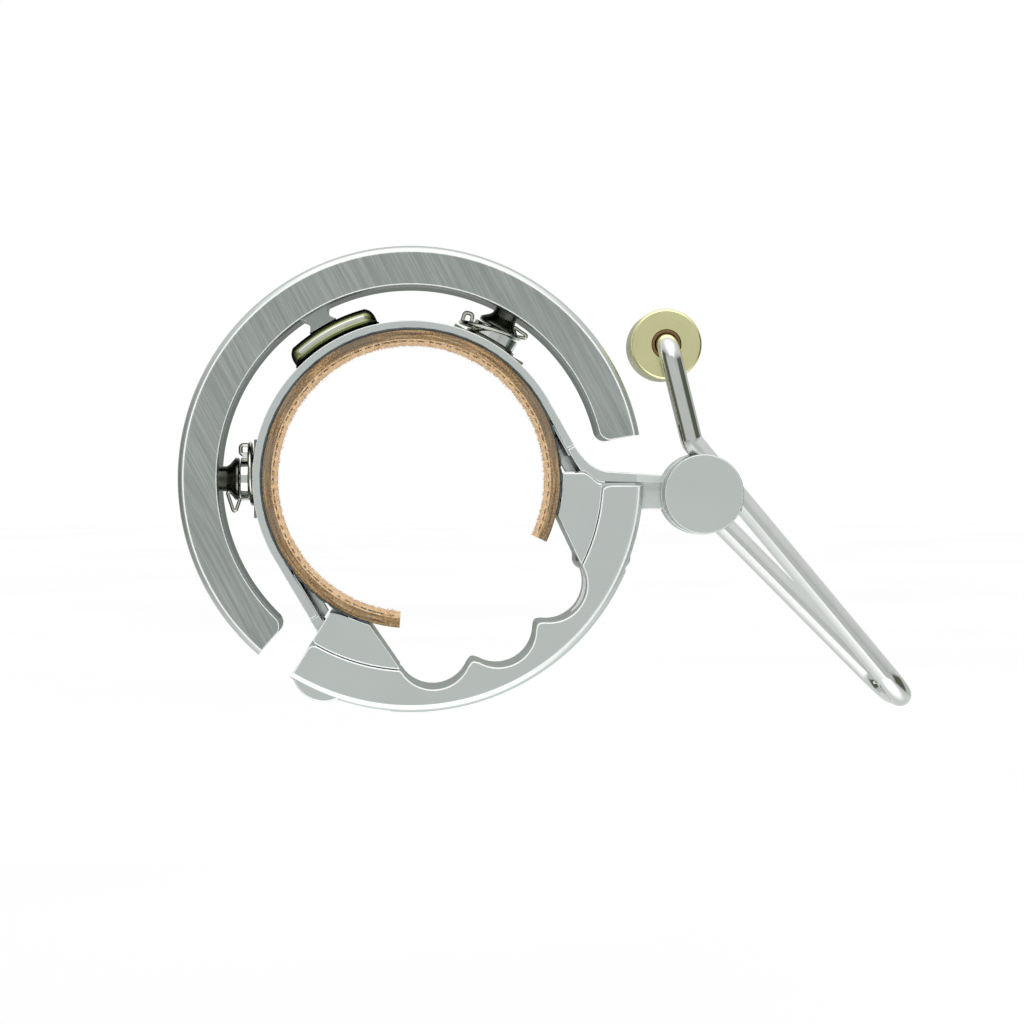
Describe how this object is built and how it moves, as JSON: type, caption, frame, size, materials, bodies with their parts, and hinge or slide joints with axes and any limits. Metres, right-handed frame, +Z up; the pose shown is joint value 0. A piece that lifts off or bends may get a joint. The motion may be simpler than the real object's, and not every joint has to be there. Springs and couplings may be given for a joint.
{
  "type": "bicycle bell",
  "caption": "Ring-shaped bicycle bell that clamps round a handlebar, with a C-shaped gong outside the clamp and a wire thumb lever that swings a brass hammer.",
  "frame": {"origin": "on the handlebar's axis, at the middle of the bell's width", "axes": "+X towards the hammer and lever, +Y along the bar away from the bell's front, +Z up"},
  "size_m": [0.0842, 0.0166, 0.0533],
  "materials": {
    "cast_steel": "fine satin cast steel with bright chamfers",
    "brushed_steel": "linear brushed faces, polished rim",
    "polished_steel": "mirror polished",
    "dark_steel": "dark turned steel",
    "brass": "fine turned pale brass",
    "bronze": "oiled sintered bronze",
    "leather": "vegetable-tanned leather, suede inside, raw cut edges",
    "liner_backing": "matt slate elastomer with shallow ribs"
  },
  "bodies": {
    "bracket": {"clamp_bracket": "cast_steel", "front_trim": "cast_steel", "rear_trim": "cast_steel", "clamp_nut": "brass", "leather_liner": "leather", "liner_backing": "liner_backing", "gong": "brushed_steel", "gong_pad": "polished_steel", "gong_lug": "cast_steel", "right_post_plate": "cast_steel", "right_post_washer": "dark_steel", "right_post_collar": "polished_steel", "right_post_stud": "dark_steel", "right_post_wire": "polished_steel", "left_post_plate": "cast_steel", "left_post_washer": "dark_steel", "left_post_collar": "polished_steel", "left_post_stud": "dark_steel", "left_post_wire": "polished_steel", "pivot_cap": "cast_steel", "pivot_bush": "bronze", "return_spring": "polished_steel", "hinge_pin": "polished_steel"},
    "lower_clamp": {"lower_cover": "cast_steel", "left_saddle": "cast_steel", "right_saddle": "cast_steel", "bolt_washer": "polished_steel"},
    "bolt": {"clamp_bolt": "dark_steel"},
    "trigger": {"trigger_wire": "polished_steel", "hammer": "brass", "hammer_bush": "bronze"}
  },
  "joints": [
    {"name": "clamp_hinge", "type": "hinge", "parent": "bracket", "child": "lower_clamp", "pos_m": [-0.00994, 0, -0.0218], "axis": [0, 1, 0], "range_deg": [0, 45]},
    {"name": "clamp_bolt_turn", "type": "hinge", "parent": "lower_clamp", "child": "bolt", "pos_m": [0.022, 0, -0.0085], "axis": [0, 0, 1], "continuous": true},
    {"name": "trigger_pivot", "type": "hinge", "parent": "bracket", "child": "trigger", "pos_m": [0.03315, 0, -0.00173], "axis": [0, 1, 0], "range_deg": [-7.5, 28], "stiffness_Nm_per_rad": 0.08}
  ]
}
